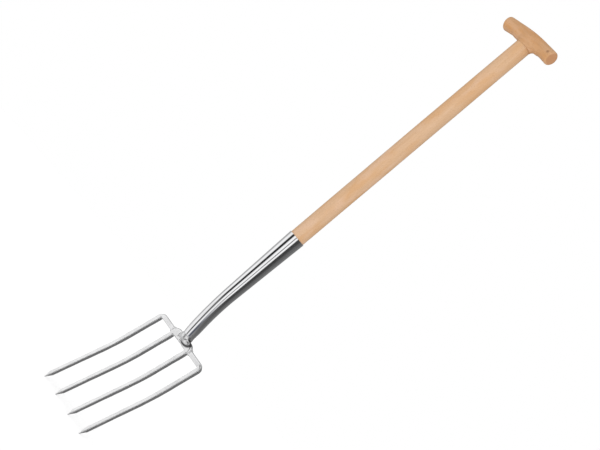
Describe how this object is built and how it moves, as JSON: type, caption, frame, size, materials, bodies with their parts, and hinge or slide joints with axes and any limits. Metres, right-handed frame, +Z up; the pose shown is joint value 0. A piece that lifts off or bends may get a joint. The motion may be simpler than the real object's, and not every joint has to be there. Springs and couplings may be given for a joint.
{
  "type": "lawn aerator fork",
  "caption": "Lawn aerator fork: long wooden shaft with a T grip, polished tapered steel socket and a welded head of dished square tines with ground points.",
  "frame": {"origin": "middle of the line through the tine points", "axes": "+Z up along the wooden shaft, +X to the right along the crossbar, -Y to the front, the side the tines reach towards"},
  "size_m": [0.181, 0.1062, 1.2026],
  "materials": {
    "grip_wood": "oiled beech, sanded smooth",
    "shaft_wood": "oiled beech, sanded smooth",
    "dowel_wood": "darker beech end grain",
    "polished_steel": "mirror-polished stainless steel",
    "satin_steel": "satin ground stainless steel",
    "weld_steel": "dressed stainless weld bead",
    "screw_steel": "plain stainless steel"
  },
  "bodies": {
    "root": {"grip": "grip_wood", "grip_dowel": "dowel_wood", "shaft": "shaft_wood", "socket": "polished_steel", "socket_screw": "screw_steel", "neck_stub": "satin_steel", "neck_weld": "weld_steel", "inner_tine_left": "satin_steel", "inner_tine_right": "satin_steel", "seam_weld": "weld_steel", "outer_tine_left": "satin_steel", "outer_tine_right": "satin_steel", "arm_weld_left": "weld_steel", "arm_weld_right": "weld_steel"}
  },
  "joints": []
}
